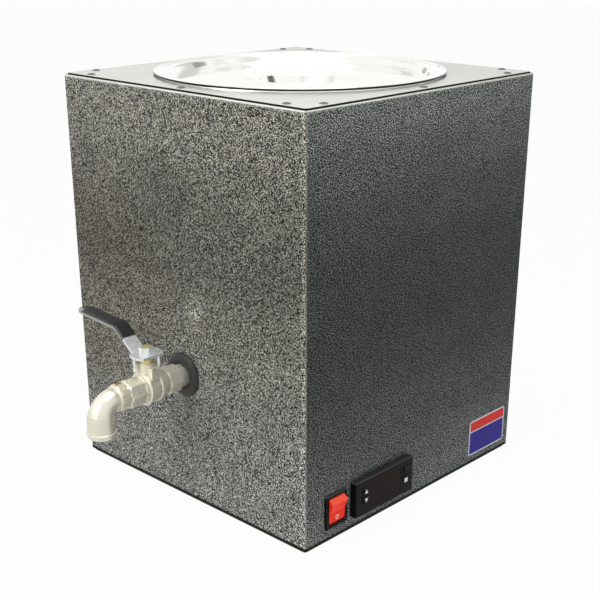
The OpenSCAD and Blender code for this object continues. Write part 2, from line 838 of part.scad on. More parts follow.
module probe_clip() {
    wing = probe_r + 7;
    path = bend_path(
        [[-wing, -0.5], [-probe_r - 0.7, -0.5], [-probe_r - 0.7, -2 * probe_r - 0.7],
         [probe_r + 0.7, -2 * probe_r - 0.7], [probe_r + 0.7, -0.5], [wing, -0.5]],
        [0, 1, 2, 2, 1, 0]);
    color("silver") place() translate([probe_pos[0] + probe_len / 2 + 5, probe_pos[1], pot_floor_z])
        rotate([90, 0, -90]) linear_extrude(10) ribbon(path, 1);
}

module high_limit_cutout() {
    color("dimgray") place() translate([cutout_pos[0], cutout_pos[1], pot_floor_z - cutout_h2]) {
        cylinder(h = cutout_h2, r = cutout_r);
        difference() {
            translate([0, 0, cutout_h2 - 1]) slab([2 * cutout_r + 16, 10, 1], 4.9);
            for (a = sides) translate([a * (cutout_r + 4), 0, 0]) cylinder(h = 2 * cutout_h2, r = 1.6);
        }
        for (a = sides) translate([a * 4 - 0.4, -3.15, -8]) cube([0.8, 6.3, 9]);
    }
}

// ---- drain ----

module drain_pipe() {
    from = s_pot + 3;
    color("silver") place() along_drain(from) ring(pipe_r, port_r + 1, s_inlet + thread_depth - from);
}

module wall_grommet() {
    ridge = (grommet_r - pipe_r) / 2;
    color("black") place() along_drain() difference() {
        union() {
            rotate_extrude() intersection() {
                translate([pipe_r + ridge, 0]) scale([1, grommet_out / ridge]) circle(r = ridge);
                square([2 * grommet_r, 2 * grommet_r]);
            }
            translate([0, 0, -sheet_t - eps]) cylinder(h = sheet_t + 2 * eps, r = grommet_hole_r - fit);
            translate([0, 0, -sheet_t - 3]) cylinder(h = 3, r = grommet_r - 2);
        }
        translate([0, 0, -2 * grommet_r]) cylinder(h = 4 * grommet_r, r = pipe_r + fit);
    }
}

module valve_body() {
    color("silver") place() difference() {
        union() {
            along_drain(s_inlet) octagon_end(inlet_len);
            along_drain() rotate_extrude() {
                polygon([[0, s_cone - 1], [cone_start_r, s_cone - 1], [cone_start_r, s_cone],
                         [drum_r, s_drum], [drum_r, s_cap], [0, s_cap]]);
                for (bead = drum_rings) translate([drum_r - 0.6, bead[0]]) circle(r = bead[1]);
            }
            at_ball() cylinder(h = neck_h, r = neck_r);
            at_ball() for (a = sides) translate([a * (neck_r + stop_ear[0] / 2 - 0.4), 0, stop_ear_z - 4])
                translate([-stop_ear[0] / 2 - 0.4, -stop_ear[1] / 2, 0])
                    cube([stop_ear[0] + 0.8, stop_ear[1], stop_ear[2] + 4]);
        }
        along_drain(s_inlet - 1) cylinder(h = thread_depth + 2, r = pipe_r + fit);
        along_drain(s_inlet) cylinder(h = s_ball - s_inlet, r = port_r);
        along_drain(s_ball - seat_r) cylinder(h = seat_r, r = seat_r + fit);
        along_drain(s_ball - seat_r + seat_t) cylinder(h = s_cap - s_ball + seat_r, r = chamber_r);
        at_ball() cylinder(h = neck_h + 1, r = stem_r + fit);
        at_ball() translate([0, 0, ball_r - 3])
            cylinder(h = stem_head_z + stem_head_h + fit - ball_r + 3, r = stem_head_r + 0.1);
        at_ball() translate([0, 0, packing_z]) cylinder(h = neck_h, r = packing_r + fit);
    }
}

module valve_end_cap() {
    color("silver") place() difference() {
        union() {
            along_drain(s_cap) cylinder(h = cap_collar, r = drum_r - 0.5);
            along_drain(s_cap - cap_spigot) cylinder(h = cap_spigot + 1, r = chamber_r - fit);
            along_drain(s_end) mirror([0, 0, 1]) octagon_end(outlet_len + 0.5);
        }
        along_drain(s_ball) cylinder(h = seat_r, r = seat_r + fit);
        along_drain(s_ball) cylinder(h = s_end - s_ball, r = port_r);
        along_drain(s_end - thread_depth) cylinder(h = thread_depth + 1, r = elbow_in_r + fit);
    }
}

module valve_ball() {
    color("gainsboro") place() at_ball() difference() {
        sphere(r = ball_r);
        rotate([0, 90, 0]) cylinder(h = 3 * ball_r, r = port_r, center = true);
        translate([-ball_r, -ball_r, ball_flat_z]) cube(2 * ball_r);
        translate([-ball_r, -1.5, tang_z - 0.1]) cube([2 * ball_r, 3, ball_r]);
    }
}

module ball_seats() {
    color("white") place() for (a = sides) at_ball() rotate([90 * a, 0, 0]) rotate_extrude() difference() {
        translate([port_r, seat_r - seat_t]) square([seat_r - port_r, seat_t]);
        circle(r = ball_r + fit);
    }
}

module valve_stem() {
    color("darkgoldenrod") place() at_ball() {
        translate([-stem_r + 0.6, -1.45, tang_z]) cube([2 * stem_r - 1.2, 2.9, stem_head_z - tang_z + 0.2]);
        translate([0, 0, stem_head_z]) cylinder(h = stem_head_h, r = stem_head_r);
        translate([0, 0, stem_head_z]) cylinder(h = neck_h + gland_h - stem_head_z, r = stem_r);
        intersection() {
            cylinder(h = stem_top, r = stem_r);
            translate([-stem_r, -stem_flat / 2, neck_h]) cube([2 * stem_r, stem_flat, stem_top]);
        }
    }
}

module stem_packing() {
    color("white") place() at_ball() translate([0, 0, packing_z]) ring(packing_r, stem_r + fit, packing_h);
}

module gland_nut() {
    from = packing_z + packing_h;
    color("darkgoldenrod") place() at_ball() difference() {
        union() {
            translate([0, 0, from]) cylinder(h = neck_h - from + 1, r = packing_r);
            translate([0, 0, neck_h]) cylinder(h = gland_h, r = gland_r);
        }
        cylinder(h = stem_top, r = stem_r + fit);
        for (a = [0:60:300]) rotate(a) translate([gland_r - 0.4, -0.6, neck_h + 1]) cube([1, 1.2, gland_h]);
    }
}

// ---- lever ----

module lever() {
    color("gainsboro") place() at_ball() difference() {
        union() {
            intersection() {
                translate([0, 0, hub_z]) cylinder(h = lever_t, r = hub_r);
                translate([hub_from, -hub_r, 0]) cube([hub_to - hub_from, 2 * hub_r, 2 * hub_z]);
            }
            translate([0, lever_w / 2, 0]) rotate([90, 0, 0])
                linear_extrude(lever_w) ribbon(blade_path, lever_t);
            for (a = [45, 225]) rotate(a) translate([stop_tab[0], -stop_tab_w / 2, stop_tab_z])
                cube([stop_tab[1] - stop_tab[0], stop_tab_w, hub_z + 1 - stop_tab_z]);
        }
        intersection() {
            translate([0, 0, hub_z - 1]) cylinder(h = lever_t + 2, r = stem_r + fit);
            translate([-stem_r - 1, -stem_flat / 2 - fit, 0])
                cube([2 * stem_r + 2, stem_flat + 2 * fit, 2 * hub_z]);
        }
    }
}

// The grip's cross section at a point of its path
function grip_ring(i) =
    let (
        last = len(grip_path) - 1,
        tip = max(0, i - (last - grip_tip_rings)) * 90 / (grip_tip_rings + 0.35),
        w = grip_w * cos(tip),
        t = grip_t * (0.55 + 0.45 * cos(tip)),
        n = mitre(grip_path, i),
        p = grip_path[i]
    )
    [for (k = [0:19]) let (
        a = 18 * k + 9,
        u = sign(cos(a)) * max(w - t, 0) / 2 + min(w, t) / 2 * cos(a),
        v = t / 2 * sin(a)
    ) [p[0] + n[0] * v, u, p[1] + n[1] * v]];

module lever_grip() {
    color("black") place() at_ball() difference() {
        loft([for (i = [0:len(grip_path) - 1]) grip_ring(i)]);
        translate([0, lever_w / 2 + fit, 0]) rotate([90, 0, 0])
            linear_extrude(lever_w + 2 * fit) ribbon(blade_path, lever_t + 2 * fit);
    }
}

module lever_nut() {
    color("silver") place() at_ball() translate([0, 0, nut_z]) rotate(nut_turn)
        hex_nut(nut_af, nut_h, stem_r + fit);
}

// ---- elbow ----

// How far the elbow has swollen at an angle of its bend, from 0 to 1
function swell(a) = pow(sin(1.5 * max(a - 30, 0)), 2);

// The elbow's ring at an angle of its bend, moved by a shift
function elbow_ring(a, shift = [0, 0, 0], n = 32) =
    let (
        r = elbow_in_r - elbow_seat + elbow_sag * swell(a),
        drop = elbow_bend * (1 - cos(a)) + elbow_sag * swell(a),
        centre = [0, elbow_bend * (1 - sin(a)) - s_axis, -drop],
        across = [0, -sin(a), cos(a)]
    )
    [for (k = [0:n - 1]) let (t = 360 * k / n) centre + shift + [r * cos(t), 0, 0] + across * (r * sin(t))];

module elbow() {
    leg = elbow_drop - elbow_bend - elbow_sag;
    color("silver") place() difference() {
        union() {
            along_drain(s_end - thread_depth + 0.5) cylinder(h = thread_depth, r = elbow_in_r);
            along_drain(s_end) cylinder(h = elbow_collar + 1.6, r = elbow_in_r);
            along_drain(s_end) for (i = [0:lug_count - 1]) rotate(360 * i / lug_count)
                translate([elbow_in_r - 0.6, -lug_w / 2, 0])
                    cube([lug_r - elbow_in_r + 0.6, lug_w, elbow_collar]);
            along_drain(s_end + elbow_collar + 1) rotate_extrude()
                translate([elbow_in_r + 0.3, 0]) circle(r = collar_ring_r);
            translate([0, -cab_d / 2, drain_z]) loft(concat(
                [elbow_ring(0, [0, s_axis - elbow_bend - s_end - 0.5, 0])],
                [for (a = [0:7.5:90]) elbow_ring(a)],
                [elbow_ring(90, [0, 0, -1])]));
            translate([0, -cab_d / 2 - s_axis, drain_z - elbow_drop]) rotate_extrude() polygon([
                [0, 0], [elbow_out_r - elbow_lip_chamfer, 0], [elbow_out_r, elbow_lip_chamfer],
                [elbow_out_r, elbow_bead_z], [elbow_bead_r, elbow_bead_z + 0.4],
                [elbow_bead_r, elbow_bead_z + elbow_bead_h - 0.4], [elbow_out_r, elbow_bead_z + elbow_bead_h],
                [elbow_out_r, leg - 0.3], [0, leg - 0.3]]);
        }
        along_drain(s_end - thread_depth)
            cylinder(h = s_axis - elbow_bend - s_end + thread_depth + 1, r = port_r);
        translate([0, elbow_bend - cab_d / 2 - s_axis, drain_z - elbow_bend]) rotate([0, -90, 180])
            rotate_extrude(angle = 90) translate([elbow_bend, 0]) circle(r = port_r + elbow_ease);
        translate([0, -cab_d / 2 - s_axis, drain_z - elbow_drop])
            cylinder(h = elbow_drop - elbow_bend + 1, r = port_r);
        translate([0, -cab_d / 2 - s_axis, drain_z - elbow_drop - 1])
            cylinder(h = outlet_depth + 1, r = outlet_r);
    }
}

// ---- controller ----

module controller_case() {
    color("#202225") place() at_controller() translate([0, 0, -case_depth]) difference() {
        slab([cutout_w - 2 * case_fit, cutout_h - 2 * case_fit, case_depth], 1);
        for (a = sides) translate([-cutout_w / 2 + 4, a * (cutout_h / 2 - 4.5) - 3.5, -1])
            cube([cutout_w - 8, 7, 9]);
        for (i = [0:7]) translate([(i - 3.5) * 7.6, 0, -1]) cylinder(h = 6, r = 1.6);
    }
}

module controller_clips() {
    clip_x = cutout_w / 2 - case_fit + clip_size[0] / 2;
    color("darkorange") place() at_controller() for (a = sides)
        translate([a * clip_x - clip_size[0] / 2, -clip_size[1] / 2, -sheet_t - clip_size[2]])
            difference() {
                cube(clip_size);
                translate([a > 0 ? 2 : -1, 3, -1]) cube([3, clip_size[1] - 6, clip_size[2] - 3]);
            }
}

module controller_bezel() {
    color("#26282b") place() at_controller() difference() {
        soft_slab([bezel_w, bezel_h, bezel_out], bezel_corner, bezel_round);
        translate([display_pos[0], display_pos[1], bezel_out - display_t])
            slab([display_w, display_h, display_t + 1], 1);
        for (p = [up_pos, down_pos, set_pos, power_pos]) translate([p[0], p[1], bezel_out - key_hole_depth])
            slab([key_w + 2 * moving_gap, key_h + 2 * moving_gap, key_hole_depth + 1],
                 key_corner + moving_gap);
    }
}

module display_window() {
    color("#501518") place() at_controller()
        translate([display_pos[0], display_pos[1], bezel_out - display_t])
            slab([display_w - 2 * fit, display_h - 2 * fit, display_t - 0.2], 1 - fit);
}

// A key with rounded edges, its top key_proud over the bezel
module key(pos) {
    color("#303236") place() at_controller() translate([pos[0], pos[1], bezel_out + key_proud - key_len])
        soft_slab([key_w, key_h, key_len], key_corner, key_proud / 2);
}

module up_key() key(up_pos);

module down_key() key(down_pos);

module set_key() key(set_pos);

module power_key() key(power_pos);

// ---- rocker switch ----

module switch_housing() {
    color("#1c1c1e") place() at_switch() difference() {
        union() {
            soft_slab([switch_w, switch_h, switch_flange], 1.5, 0.8);
            translate([0, 0, -switch_body_depth])
                slab([switch_body_w, switch_body_h, switch_body_depth + 0.5], 0.5);
        }
        translate([-rocker_w / 2 - moving_gap, -rocker_h / 2 - moving_gap, switch_flange + 1])
            mirror([0, 0, 1])
                cube([rocker_w + 2 * moving_gap, rocker_h + 2 * moving_gap, switch_pocket_depth]);
        translate([0, 0, pivot_z]) rotate([0, 90, 0])
            cylinder(h = rocker_w + 2 * pivot_len + 2 * fit, r = pivot_r + fit, center = true);
    }
}

module switch_terminals() {
    color("silver") place() at_switch() for (a = sides, b = sides)
        translate([a * 6 - 0.4, b * 6 - 3.15, -switch_body_depth - 9]) difference() {
            cube([0.8, 6.3, 10 - 1]);
            translate([-1, 3.15, 3]) rotate([0, 90, 0]) cylinder(h = 3, r = 0.9);
        }
}

module switch_rocker() {
    color("red") place() at_switch() translate([0, 0, pivot_z]) rotate([rocker_tilt, 0, 0]) {
        rotate([90, 0, 90]) translate([0, 0, -rocker_w / 2]) intersection() {
            linear_extrude(rocker_w) polygon(rocker_outline);
            cylinder(h = rocker_w, r = rocker_h / 2);
        }
        rotate([0, 90, 0]) cylinder(h = rocker_w + 2 * pivot_len, r = pivot_r, center = true);
    }
}

// ---- mains entry ----

module cable_gland() {
    corner = gland_af / sqrt(3);
    color("#1c1c1e") place() at_cable_gland() difference() {
        union() {
            cylinder(h = gland_body_out, r = corner, $fn = 6);
            translate([0, 0, -sheet_t - lock_nut_h - 3])
                cylinder(h = sheet_t + lock_nut_h + 3 + eps, r = gland_thread_r);
            cylinder(h = gland_body_out + 6, r = gland_thread_r);
        }
        translate([0, 0, -sheet_t - lock_nut_h - 4])
            cylinder(h = 2 * (sheet_t + lock_nut_h + gland_dome_len), r = cable_r + 2);
    }
}

module cable_gland_lock_nut() {
    color("#1c1c1e") place() at_cable_gland() translate([0, 0, -sheet_t - lock_nut_h])
        hex_nut(gland_af, lock_nut_h, gland_thread_r + fit);
}

module cable_gland_seal() {
    color("dimgray") place() at_cable_gland() translate([0, 0, gland_body_out + 1])
        ring(cable_r + 2 - fit, cable_r, 10);
}

module cable_gland_dome_nut() {
    corner = gland_af / sqrt(3);
    color("#1c1c1e") place() at_cable_gland() translate([0, 0, gland_body_out]) difference() {
        union() {
            cylinder(h = 8, r = corner, $fn = 6);
            rotate_extrude() polygon([[0, 0], [gland_af / 2 - 0.3, 0], [gland_af / 2 - 0.3, 9],
                [gland_af / 2 - 2, 12.6], [cable_r + 2.6, gland_dome_len], [0, gland_dome_len]]);
        }
        translate([0, 0, -1]) cylinder(h = 7 + fit, r = gland_thread_r + fit);
        cylinder(h = 11 + fit, r = cable_r + 2 + fit);
        cylinder(h = gland_dome_len + 1, r = cable_r);
    }
}

module terminal_block() {
    color("ivory") place() translate([block_pos[0], block_pos[1], cab_z]) difference() {
        slab(block_size, 1);
        for (i = [-1:1]) translate([i * block_size[0] / 3, 0, 0]) {
            translate([0, 0, 11]) cylinder(h = block_size[2], r = 2.6);
            translate([0, 0, 8]) rotate([90, 0, 0]) cylinder(h = 2 * block_size[1], r = 2.2, center = true);
        }
        for (a = sides) {
            translate([a * block_size[0] / 6, 0, 13]) cube([1.2, block_size[1] + 2, 10], center = true);
            translate([a * block_size[0] / 3, 0, -1]) cylinder(h = 5, r = block_screw_r + fit);
        }
    }
}

module terminal_block_screws() {
    color("silver") place() for (a = sides)
        translate([block_pos[0] + a * block_size[0] / 3, block_pos[1], base_z]) rotate([180, 0, 0])
            pan_screw(2 * block_screw_r, 1.2, block_screw_r, plate_t + 3.6);
}

cabinet();
top_plate();
top_plate_screws();
base_plate();
base_plate_screws();
rubber_feet();
foot_screws();
foot_nuts();
melting_pot();
pot_socket();
lid();
lid_handle();
band_heater();
heater_clamp_screw();
heater_terminals();
insulation_jacket();
jacket_straps();
temperature_probe();
probe_clip();
high_limit_cutout();
drain_pipe();
wall_grommet();
valve_body();
valve_end_cap();
valve_ball();
ball_seats();
valve_stem();
stem_packing();
gland_nut();
lever();
lever_grip();
lever_nut();
elbow();
controller_case();
controller_clips();
controller_bezel();
display_window();
up_key();
down_key();
set_key();
power_key();
switch_housing();
switch_terminals();
switch_rocker();
cable_gland();
cable_gland_lock_nut();
cable_gland_seal();
cable_gland_dome_nut();
terminal_block();
terminal_block_screws();
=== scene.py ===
import json
import math

import bmesh
import bpy
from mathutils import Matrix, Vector
from mathutils.bvhtree import BVHTree


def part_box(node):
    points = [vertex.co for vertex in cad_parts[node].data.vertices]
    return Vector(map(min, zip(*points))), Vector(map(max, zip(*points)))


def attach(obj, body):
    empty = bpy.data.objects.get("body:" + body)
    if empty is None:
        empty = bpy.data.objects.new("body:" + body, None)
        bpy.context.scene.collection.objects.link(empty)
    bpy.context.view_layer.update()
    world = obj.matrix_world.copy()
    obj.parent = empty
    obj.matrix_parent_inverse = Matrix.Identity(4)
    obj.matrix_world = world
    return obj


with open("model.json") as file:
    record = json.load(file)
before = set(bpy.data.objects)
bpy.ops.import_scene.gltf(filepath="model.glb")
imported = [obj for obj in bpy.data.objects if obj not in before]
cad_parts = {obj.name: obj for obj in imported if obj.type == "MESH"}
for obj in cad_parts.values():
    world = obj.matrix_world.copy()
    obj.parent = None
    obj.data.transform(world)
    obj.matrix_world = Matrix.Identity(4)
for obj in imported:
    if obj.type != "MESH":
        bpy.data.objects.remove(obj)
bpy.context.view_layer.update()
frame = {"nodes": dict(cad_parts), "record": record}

NODES = frame["nodes"]
PLACE = Vector((-3.9, 44.25, 0))


def at(x, y, z):
    """A point given in millimetres from the cabinet's middle, in the row frame."""
    return (Vector((x, y, z)) + PLACE) / 1000


# ---------------------------------------------------------------- materials


class Graph:
    """A node tree under construction, with short names for its nodes."""

    def __init__(self, tree):
        self.tree = tree
        tree.nodes.clear()

    def node(self, kind, **sockets):
        made = self.tree.nodes.new("ShaderNode" + kind)
        for key, value in sockets.items():
            if key.startswith("set_"):
                setattr(made, key[4:], value)
            else:
                self.feed(made.inputs[key.replace("_", " ")], value)
        return made

    def feed(self, socket, value):
        if isinstance(value, bpy.types.NodeSocket):
            self.tree.links.new(value, socket)
        else:
            socket.default_value = value

    def math(self, operation, a, b=0.0, clamp=False):
        made = self.node("Math", set_operation=operation, set_use_clamp=clamp)
        self.feed(made.inputs[0], a)
        self.feed(made.inputs[1], b)
        return made.outputs["Value"]

    def spread(self, value, low, high, to_low, to_high):
        made = self.node("MapRange", Value=value, From_Min=low, From_Max=high, To_Min=to_low, To_Max=to_high)
        return made.outputs["Result"]

    def smooth(self, value, low, high, to_low=0.0, to_high=1.0):
        made = self.node("MapRange", set_interpolation_type="SMOOTHSTEP", Value=value, From_Min=low,
                         From_Max=high, To_Min=to_low, To_Max=to_high)
        return made.outputs["Result"]

    def choose(self, factor, a, b):
        """Shader a where the factor is 0, and b where it is 1."""
        made = self.node("MixShader")
        for socket, value in zip(made.inputs, (factor, a, b)):
            self.feed(socket, value)
        return made.outputs[0]


class Shader(Graph):
    """A material under construction, laid out in the row frame."""

    def __init__(self, name, **facts):
        self.mat = bpy.data.materials.new(name)
        self.mat.use_nodes = True
        super().__init__(self.mat.node_tree)
        self.out = self.node("OutputMaterial")
        self.bsdf = self.node("BsdfPrincipled", **facts)
        self.feed(self.out.inputs["Surface"], self.bsdf.outputs["BSDF"])
        source = self.node("TexCoord")
        self.coords = source.outputs["Object"]
        self.normals = source.outputs["Normal"]

    def stretched(self, x, y, z):
        moved = self.node("Mapping", Vector=self.coords)
        moved.inputs["Scale"].default_value = (x, y, z)
        return moved.outputs["Vector"]

    def noise(self, scale, detail=2.0, roughness=0.5, distortion=0.0, vector=None):
        made = self.node("TexNoise", Vector=vector or self.coords, Scale=scale, Detail=detail,
                         Roughness=roughness, Distortion=distortion)
        return made.outputs["Fac"]

    def axis(self, vector, index):
        return self.node("SeparateXYZ", Vector=vector).outputs[index]

    def along(self, vector, direction):
        made = self.node("VectorMath", set_operation="DOT_PRODUCT")
        self.feed(made.inputs[0], vector)
        self.feed(made.inputs[1], direction)
        return made.outputs["Value"]

    def near(self, point, inner, outer, stretch=(1, 1, 1)):
        """1 within the inner distance of a point and 0 beyond the outer one."""
        moved = self.node("VectorMath", set_operation="SUBTRACT")
        self.feed(moved.inputs[0], self.coords)
        self.feed(moved.inputs[1], tuple(point))
        scaled_to = self.node("VectorMath", set_operation="MULTIPLY")
        self.feed(scaled_to.inputs[0], moved.outputs[0])
        self.feed(scaled_to.inputs[1], stretch)
        length = self.node("VectorMath", set_operation="LENGTH")
        self.feed(length.inputs[0], scaled_to.outputs[0])
        return self.smooth(length.outputs["Value"], inner, outer, 1.0, 0.0)

    def curve(self, value, reach, points):
        """A smooth curve through (value, result) points. Values run from 0 to reach, results up to 2."""
        made = self.node("ValToRGB", Fac=self.math("DIVIDE", value, reach))
        made.color_ramp.interpolation = "EASE"
        stops = made.color_ramp.elements
        while len(stops) < len(points):
            stops.new(0.5)
        for stop, (place, result) in zip(stops, sorted(points)):
            stop.position = place / reach
            stop.color = (result / 2,) * 3 + (1.0,)
        return self.math("MULTIPLY", made.outputs["Color"], 2.0)

    def times(self, colour, factor):
        made = self.node("VectorMath", set_operation="SCALE")
        self.feed(made.inputs[0], colour)
        self.feed(made.inputs["Scale"], factor)
        return made.outputs[0]

    def filtered(self, colour, tint):
        made = self.node("VectorMath", set_operation="MULTIPLY")
        self.feed(made.inputs[0], colour)
        self.feed(made.inputs[1], tint)
        return made.outputs[0]

    def mix(self, factor, a, b):
        made = self.node("Mix", set_data_type="RGBA")
        self.feed(made.inputs[0], factor)
        self.feed(made.inputs[6], a)
        self.feed(made.inputs[7], b)
        return made.outputs[2]

    def bump(self, height, distance, strength=1.0, normal=None):
        made = self.node("Bump", Height=height, Distance=distance, Strength=strength)
        if normal:
            self.feed(made.inputs["Normal"], normal)
        return made.outputs["Normal"]

    def colour(self, value):
        self.feed(self.bsdf.inputs["Base Color"], value)

    def roughness(self, value):
        self.feed(self.bsdf.inputs["Roughness"], value)

    def normal(self, value):
        self.feed(self.bsdf.inputs["Normal"], value)


def rgb(r, g, b):
    """A colour written as it looks on a screen, from 0 to 255."""
    return tuple(((v / 255 + 0.055) / 1.055) ** 2.4 if v > 10 else v / 3294.6 for v in (r, g, b)) + (1.0,)


def scaled(colour, k):
    return tuple(v * k for v in colour[:3]) + (1.0,)


# The paint: grains per metre and how much finer they are on the valve's face, and on that face a painted dark
# reflection, a painted highlight, and a painted brown reflection with painted shade
GRAIN = 1070
FINER = 0.24
DARK_REFLECTION = at(-15, -152.5, 301)
HIGHLIGHT_SPOT = at(18, -152.5, 200)
BROWN_REFLECTION = at(-120, -152.5, 185)
# Painted light and shade: how bright the valve's face and the other faces are at each height in metres, on a
# curve up to REACH
REACH = 0.4
FRONT_TONE = ((0.04, 1.22), (0.1, 1.04), (0.14, 1.0), (0.17, 1.0), (0.204, 0.82), (0.24, 0.62), (0.275, 0.66),
              (0.31, 0.77), (0.345, 1.0), (0.38, 1.05))
SIDE_TONE = ((0.02, 1.28), (0.05, 1.0), (0.1, 0.68), (0.15, 0.52), (0.2, 0.45), (0.25, 0.52), (0.297, 0.7),
             (0.333, 0.98), (0.38, 1.5))
# Tints, as painted light colour: of the other faces, of the valve's face low down and higher up, and of its
# painted brown reflection
COOL = (0.96, 1.015, 1.0, 1)
NEUTRAL = (0.99, 1.0, 0.99, 1)
WARM = (1.03, 1.0, 0.94, 1)
BROWN_REFLECTION_TINT = (1.08, 1.0, 0.88, 1)
# Heights in metres at which the coat is painted pale below the top bend, a painted highlight, and dark along
# the lower edge, painted shade
PALE_FROM, PALE_TO = 0.3835, 0.3875
LOWER_EDGE, LOWER_SHADE_TO = 0.0126, 0.0138
# Where the painted highlight strip by the near corner begins and is full, along X in metres
STRIP_FROM, STRIP_TO = 0.1415, 0.1455


def face_tone(s, height, frontal):
    """How bright the coat is painted: painted light and shade by height on each face and in patches, random
    clouds, and painted highlights on the vertical bends and along the near corner.
    """
    # Painted on the valve's face: a dark reflection, a highlight, and shade round the brown reflection
    dark_reflection = s.math("SUBTRACT", 1.0, s.math("MULTIPLY", s.near(DARK_REFLECTION, 0.012, 0.045), 0.2))
    highlight = s.math("ADD", 1.0, s.math("MULTIPLY", s.near(HIGHLIGHT_SPOT, 0.0, 0.02), 0.8))
    shade = s.math("SUBTRACT", 1.0, s.math("MULTIPLY", s.near(BROWN_REFLECTION, 0.02, 0.15), 0.22))
    clouds = s.spread(s.noise(26, 2.0), 0.3, 0.7, 0.92, 1.08)
    # Painted light and shade by height, one curve on the valve's face and one on the others
    front = s.math("MULTIPLY", s.curve(height, REACH, FRONT_TONE), frontal)
    side = s.math("MULTIPLY", s.curve(height, REACH, SIDE_TONE), s.math("SUBTRACT", 1.0, frontal))
    tone = s.math("ADD", front, side)
    for part in (clouds, dark_reflection, highlight, shade):
        tone = s.math("MULTIPLY", tone, part)
    # Painted highlights on the vertical bends, and in a strip by the near corner
    turn = s.math("ABSOLUTE", s.math("MULTIPLY", s.axis(s.normals, 0), s.axis(s.normals, 1)))
    corner = s.math("MULTIPLY", s.smooth(s.axis(s.coords, 0), STRIP_FROM, STRIP_TO), frontal)
    bend_highlight = s.math("MAXIMUM", s.smooth(turn, 0.03, 0.35, 0.0, 0.8), s.math("MULTIPLY", corner, 0.4))
    return s.math("ADD", tone, bend_highlight)


def hammertone():
    """Silver vein powder coat: pale flecks of metal over a charcoal ground, with painted light and shade,
    painted highlights on the bends, and painted shade by the top plate and along the lower edge.
    """
    s = Shader("hammertone", Specular_IOR_Level=0.1)
    height = s.axis(s.coords, 2)
    rise = s.axis(s.normals, 2)
    frontal = s.smooth(s.axis(s.normals, 1), -0.7, -0.2, 1.0, 0.0)
    finer = s.math("ADD", s.math("MULTIPLY", frontal, FINER), 1.0)
    flecks = s.smooth(s.noise(GRAIN, 0.6, 0.4, 0.4, s.times(s.coords, finer)), 0.47, 0.67)
    ground = s.mix(s.noise(1300, 1.0), rgb(8, 9, 9), rgb(34, 35, 34))
    silver = s.mix(s.noise(60, 1.0), rgb(248, 250, 246), rgb(226, 230, 228))
    # Painted light colour: cool on the other faces, neutral to warm up the valve's face
    warmth = s.mix(s.smooth(height, 0.08, 0.2), NEUTRAL, WARM)
    tint = s.mix(frontal, COOL, warmth)
    # Painted brown reflection on the valve's face
    tint = s.mix(s.math("MULTIPLY", s.near(BROWN_REFLECTION, 0.02, 0.15), frontal), tint, BROWN_REFLECTION_TINT)
    colour = s.times(s.filtered(s.mix(flecks, ground, silver), tint), face_tone(s, height, frontal))
    # Painted highlight: pale on the upward bends and in a band just below the top bend
    top_highlight = s.math("MAXIMUM", s.smooth(rise, 0.08, 0.4), s.smooth(height, PALE_FROM, PALE_TO, 0.0, 0.75))
    colour = s.mix(s.math("MULTIPLY", top_highlight, 0.9), colour, rgb(240, 240, 234))
    # Painted shade: dark where the coat faces straight up, by the top plate's edge
    colour = s.mix(s.smooth(rise, 0.8, 0.9), colour, rgb(20, 20, 18))
    # Painted shade: dark along the lower edge
    colour = s.mix(s.smooth(height, LOWER_EDGE, LOWER_SHADE_TO), rgb(14, 14, 13), colour)
    s.colour(colour)
    s.roughness(s.spread(flecks, 0.0, 1.0, 0.34, 0.5))
    s.normal(s.bump(flecks, 0.00012, 0.6, s.bump(s.noise(90, 1.0), 0.0003, 0.3)))
    return s.mat


# The height in metres above which the sheared edges of a brushed sheet are painted dark, as painted shade
PLATE_LEVEL = 0.38


def brushed(name, colour, roughness, along, grain=0.06, marks=0.03):
    """Sheet metal with a fine grain along one axis, and faint handling marks."""
    s = Shader(name, Metallic=1.0)
    fine = [2600.0] * 3
    fine[along] = 26.0
    streak = s.noise(1.0, 2.0, 0.6, vector=s.stretched(*fine))
    cloud = s.noise(14, 3.0)
    tone = s.math("ADD", s.spread(streak, 0.3, 0.7, -grain, grain), s.spread(cloud, 0.3, 0.7, -marks, marks))
    face = s.mix(s.math("ADD", tone, 0.5), scaled(colour, 0.8), scaled(colour, 1.2))
    # Painted shade on the sheared edges
    shaded_edge = s.math("MULTIPLY", s.smooth(s.math("ABSOLUTE", s.axis(s.normals, 2)), 0.5, 0.6, 1.0, 0.0),
                 s.math("GREATER_THAN", s.axis(s.coords, 2), PLATE_LEVEL))
    s.colour(s.mix(shaded_edge, face, rgb(30, 29, 26)))
    s.roughness(s.math("ADD", s.math("MULTIPLY", tone, 0.8), roughness))
    s.normal(s.bump(streak, 0.00002, 0.25))
    return s.mat


# The lid's hem gets a painted dark reflection and painted shade where it faces away from the lid's middle and
# not straight up, past a radius in metres
LID_MIDDLE = at(0, 0, 389.6)
HEM_FROM, HEM_TO = 0.1312, 0.1314


